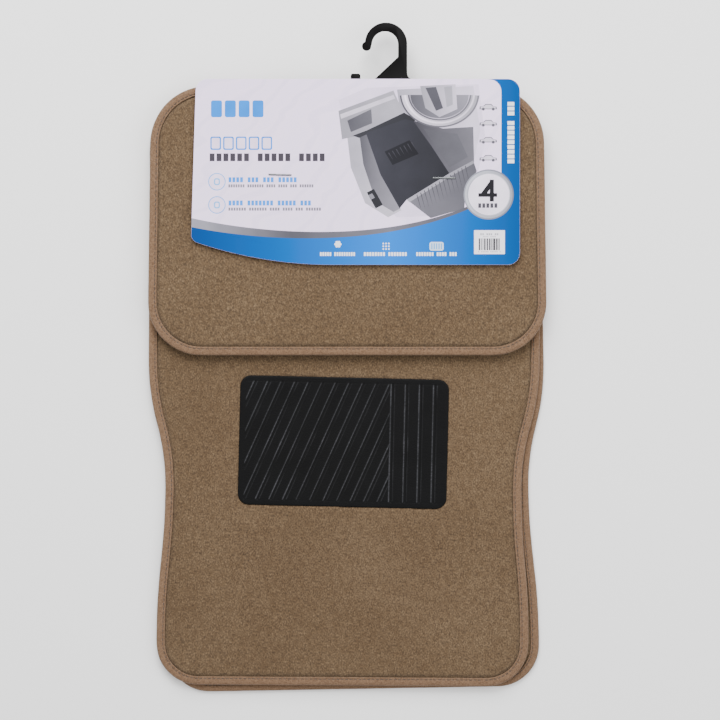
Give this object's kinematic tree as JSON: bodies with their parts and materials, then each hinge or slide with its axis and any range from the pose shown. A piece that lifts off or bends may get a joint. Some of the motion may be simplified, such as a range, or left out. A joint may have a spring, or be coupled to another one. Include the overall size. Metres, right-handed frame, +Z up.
{
  "type": "floor mat set",
  "caption": "Carpeted car floor mats with bound edges and ribbed heel pads, stapled in a flat stack under a header card with a plastic hanging hook",
  "frame": {"origin": "on the ground under the middle of the set's outer box", "axes": "+Z up; +Y from the heel edges of the front mats to the hook; +X to the right, seen from above with the hook at the far end"},
  "size_m": [0.45, 0.7562, 0.0265],
  "materials": {
    "carpet": "short mottled pile",
    "binding": "woven tape",
    "thread": "twisted thread",
    "backing": "nibbed, matte",
    "heel_pad": "ribbed, fine grain",
    "hanger": "moulded, satin",
    "card": "printed, coated",
    "label": "coated paper",
    "staple": "zinc plated wire"
  },
  "bodies": {
    "root": {"front_lower_carpet": "carpet", "front_lower_backing": "backing", "front_lower_binding": "binding", "front_lower_stitching": "thread", "front_upper_carpet": "carpet", "front_upper_backing": "backing", "front_upper_binding": "binding", "front_upper_stitching": "thread", "rear_lower_carpet": "carpet", "rear_lower_backing": "backing", "rear_lower_binding": "binding", "rear_lower_stitching": "thread", "rear_upper_carpet": "carpet", "rear_upper_backing": "backing", "rear_upper_binding": "binding", "rear_upper_stitching": "thread", "front_lower_heel_pad": "heel_pad", "front_upper_heel_pad": "heel_pad", "hanger": "hanger", "header_card": "card", "barcode_label": "label", "staple_left": "staple", "staple_right": "staple"}
  },
  "joints": []
}
